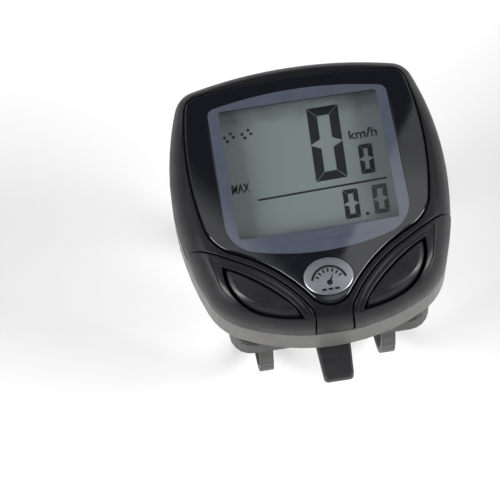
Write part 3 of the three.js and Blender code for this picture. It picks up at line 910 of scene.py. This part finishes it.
def triangulate_shape(shape):
    """Plan points and triangles inside one outline."""
    n = len(shape)
    edges = [(i, (i + 1) % n) for i in range(n)]
    verts, _, faces, *_ = delaunay_2d_cdt([Vector(p) for p in shape], edges, [list(range(n))], 1, 1e-6)
    return np.array([tuple(v) for v in verts]), [tuple(f) for f in faces]


DIAL = {"y": BADGE["y"] - 1.3, "radius": 3.0, "line": 0.42, "ends": (14, 166), "hub": 0.5}
TICK = {"from": 1.95, "to": 2.6, "half": 0.15, "angles": range(30, 151, 20)}
NEEDLE = {"angle": 62, "half": 0.26, "to": 1.85}
DASH = {"pitch": 1.1, "left": -1.5, "long": 0.8, "rear": -1.4, "front": -1.0, "count": 3}
INK = {"lift": 0.015, "thickness": 0.02}


def dial_scale():
    """Outline of the dial's curved scale, a stretch of a flat ring."""
    start, end = DIAL["ends"]
    outer = arc((0, DIAL["y"]), DIAL["radius"] + DIAL["line"] / 2, start, end)
    return outer + arc((0, DIAL["y"]), DIAL["radius"] - DIAL["line"] / 2, end, start)


def on_dial(angle, corners):
    """Points placed along and across a direction from the dial's hub."""
    c, s = math.cos(math.radians(angle)), math.sin(math.radians(angle))
    return [(c * along - s * across, DIAL["y"] + s * along + c * across) for along, across in corners]


def dial_shapes():
    """A plain dial: a scale with ticks, a needle and a hub, over three dashes."""
    near, far, half = TICK["from"], TICK["to"], TICK["half"]
    shapes = [dial_scale(), disc(0, DIAL["y"], DIAL["hub"])]
    for angle in TICK["angles"]:
        shapes.append(on_dial(angle, [(near, -half), (far, -half), (far, half), (near, half)]))
    half = NEEDLE["half"]
    shapes.append(on_dial(NEEDLE["angle"], [(0, half), (0, -half), (NEEDLE["to"], 0)]))
    rear, front = DIAL["y"] + DASH["rear"], DIAL["y"] + DASH["front"]
    for k in range(DASH["count"]):
        left = k * DASH["pitch"] + DASH["left"]
        right = left + DASH["long"]
        shapes.append([(left, rear), (right, rear), (right, front), (left, front)])
    return shapes


def badge_print():
    """The dial's ink, laid over the badge's domed face."""
    points, faces = [], []
    for shape in dial_shapes():
        flat, triangles = triangulate_shape(shape)
        faces += [tuple(len(points) + i for i in t) for t in triangles]
        points += [(x, y, z + INK["lift"]) for (x, y), z in zip(flat, badge_height(flat))]
    obj = mesh_object("badge_pictogram", points, faces, [PAINTS["badge_ink"]])
    thickness = obj.modifiers.new("ink", "SOLIDIFY")
    thickness.thickness = INK["thickness"] * MM
    thickness.offset = -1
    return finish(obj, "head", "badge_silver")


# ---- carried-over CAD nodes ---------------------------------------------------------------------

BEVELS = {                       # edge radius in millimetres
    "bottom_case": 0.1, "battery_cover": 0.12, "bracket": 0.35, "rubber_pad": 0.1, "release_tab": 0.12,
    "left_tie": 0.12, "right_tie": 0.12, "display_glass": 0.05, "display_holder": 0.08,
    "circuit_board": 0.05, "contact_negative": 0.04, "contact_positive": 0.04,
}
NODE_SHARP, NODE_BEVEL = 28, 35   # degrees past which an edge stays sharp, and is rounded


def dress_nodes():
    """Every CAD node that stays gets its slot's material, smooth shading and softened edges."""
    slots = {part["node"]: part["material_slot"] for part in frame["record"]["subparts"]}
    for name, obj in frame["nodes"].items():
        obj.data.materials.clear()
        obj.data.materials.append(PAINTS[slots[name]])
        soften(obj, NODE_SHARP)
        if name in BEVELS:
            bevel = obj.modifiers.new("edge", "BEVEL")
            bevel.width = BEVELS[name] * MM
            bevel.segments = 3
            bevel.limit_method = "ANGLE"
            bevel.angle_limit = math.radians(NODE_BEVEL)
            level = obj.modifiers.new("level", "WEIGHTED_NORMAL")
            level.mode = "CORNER_ANGLE"
            level.keep_sharp = True


# ---- camera and light ---------------------------------------------------------------------------


def make_camera():
    """The rider's viewpoint: from above and a little to the left."""
    a, e = math.radians(CAMERA["azimuth"]), math.radians(CAMERA["elevation"])
    back = Vector((math.sin(a) * math.cos(e), -math.cos(a) * math.cos(e), math.sin(e)))
    level = Vector((0, 0, 1)).cross(back).normalized()
    right = Matrix.Rotation(math.radians(CAMERA["roll"]), 3, back) @ level
    up = back.cross(right)
    dx, dy = CAMERA["offset"]
    place = Vector(CAMERA["target"]) + back * CAMERA["distance"] - right * dx - up * dy
    data = bpy.data.cameras.new("camera")
    data.lens = CAMERA["lens"]
    data.clip_start, data.clip_end = 0.01, 10
    camera = link("camera", data)
    camera.matrix_world = Matrix.Translation(place * MM) @ Matrix((right, up, back)).transposed().to_4x4()
    bpy.context.scene.camera = camera


def area_light(name, place, size, power):
    """A white panel aimed at the object."""
    data = bpy.data.lights.new(name, "AREA")
    data.shape = "RECTANGLE"
    data.size, data.size_y = size
    data.energy = power
    light = link(name, data)
    light.location = place
    light.rotation_euler = (Vector(AIM) - Vector(place)).to_track_quat("-Z", "Y").to_euler()


# The studio's ceiling, as slopes x/z and y/z seen from the object: a dark gap between two bright panels.
# Each panel's edge is a line through a point, with the way to its bright side.
PANELS = {
    "right": {"point": (0.095, 0.348), "normal": (0.786, -0.618), "soft": 0.004, "light": 1.75},
    "left": {"point": (-0.078, 0.428), "normal": (-0.8, -0.6), "soft": 0.03, "light": 1.4},
}
DARK = 0.02                      # light of the gap
LAMPS = (                        # name, place in metres, size in metres, power in watts
    ("key", (-0.50, -0.16, 0.36), (0.35, 0.35), 5.4),
    ("fill", (0.50, -0.18, 0.34), (0.3, 0.3), 5.0),
)
AIM = (0, 0, 0.03)
SKY = 0.2
FRONT_SHADE = 0.4                # how much less the panels shine towards their front ends
RIDER_SHADE = 0.6                # share of the sky that the rider's side lacks
REAR_END = (0.18, 0.34)          # slope y/z over which the panels begin
FRONT_END = (0.44, 0.5)          # slope y/z over which they grow dimmer
OVERHEAD = (0.45, 0.7)           # height of a direction, over which the sky gives way to the ceiling
RIDER_SIDE = (-0.7, 0.1)         # its y, over which the rider's side gives way to the rest
LOWEST = 0.02                    # least height used in a slope, so that none is divided by nought


class Wires:
    """Arithmetic wired into a node tree."""

    def __init__(self, tree):
        self.tree = tree

    def node(self, kind):
        return self.tree.nodes.new(kind)

    def maths(self, operation, *values):
        """The result of an operation on numbers and on other nodes' outputs."""
        node = self.node("ShaderNodeMath")
        node.operation = operation
        for socket, value in zip(node.inputs, values):
            if isinstance(value, (int, float)):
                socket.default_value = value
            else:
                self.tree.links.new(value, socket)
        return node.outputs[0]

    def step(self, value, low, high):
        """Nought below low, one above high, and a smooth rise between them."""
        node = self.node("ShaderNodeMapRange")
        node.interpolation_type = "SMOOTHSTEP"
        node.inputs["From Min"].default_value = low
        node.inputs["From Max"].default_value = high
        self.tree.links.new(value, node.inputs["Value"])
        return node.outputs["Result"]


def ceiling_light(wires, x, y, z):
    """Light from the two panels and the gap between them, for a direction."""
    maths = wires.maths
    height = maths("MAXIMUM", z, LOWEST)
    u, v = maths("DIVIDE", x, height), maths("DIVIDE", y, height)
    total = 0
    for panel in PANELS.values():
        (px, py), (nx, ny) = panel["point"], panel["normal"]
        reach = maths("ADD", maths("MULTIPLY", maths("SUBTRACT", u, px), nx),
                      maths("MULTIPLY", maths("SUBTRACT", v, py), ny))
        share = wires.step(reach, -panel["soft"], panel["soft"])
        total = maths("ADD", total, maths("MULTIPLY", share, panel["light"] - DARK))
    away = maths("SUBTRACT", wires.step(v, *REAR_END),
                 maths("MULTIPLY", wires.step(v, *FRONT_END), FRONT_SHADE))
    return maths("ADD", maths("MULTIPLY", total, away), DARK)


def studio_world():
    """Pale all round but for the gap in the ceiling, which the domed lens mirrors."""
    world = bpy.data.worlds.new("studio")
    world.use_nodes = True
    wires = Wires(world.node_tree)
    maths = wires.maths
    axes = wires.node("ShaderNodeSeparateXYZ")
    world.node_tree.links.new(wires.node("ShaderNodeTexCoord").outputs["Generated"], axes.inputs[0])
    x, y, z = axes.outputs
    overhead = wires.step(z, *OVERHEAD)
    behind = maths("MULTIPLY", maths("SUBTRACT", 1, wires.step(y, *RIDER_SIDE)), RIDER_SHADE)
    around = maths("MULTIPLY", SKY, maths("SUBTRACT", 1, behind))
    side = maths("MULTIPLY", around, maths("SUBTRACT", 1, overhead))
    strength = maths("ADD", side, maths("MULTIPLY", ceiling_light(wires, x, y, z), overhead))
    background = world.node_tree.nodes["Background"]
    world.node_tree.links.new(strength, background.inputs["Strength"])
    background.inputs["Color"].default_value = (1, 1, 1, 1)
    bpy.context.scene.world = world


FLOOR = {"half": 2, "gap": 0.0005}   # in metres, half its width and how far it lies below the object


def make_floor():
    """A plain pale floor under the object."""
    half, low = FLOOR["half"], CAD_BOX[0][2] - FLOOR["gap"]
    corners = [(x * half, y * half, low) for x, y in ((-1, -1), (1, -1), (1, 1), (-1, 1))]
    mesh = bpy.data.meshes.new("floor")
    mesh.from_pydata(corners, [], [(0, 1, 2, 3)])
    floor = link("floor", mesh)
    paint = Paint("floor", (0.74, 0.74, 0.74), 0.8, specular=0.2)
    paint.tint(paint.noise(60, 3), 0.01)
    mesh.materials.append(paint.material)


def make_studio():
    studio_world()
    make_floor()
    for name, place, size, power in LAMPS:
        area_light(name, place, size, power)


bpy.context.scene.view_settings.view_transform = "Standard"
make_camera()
make_studio()
dress_nodes()
top_case()
lens()
badge()
badge_print()
display_content()
for side in (1, -1):
    wing(side)
    key(side)
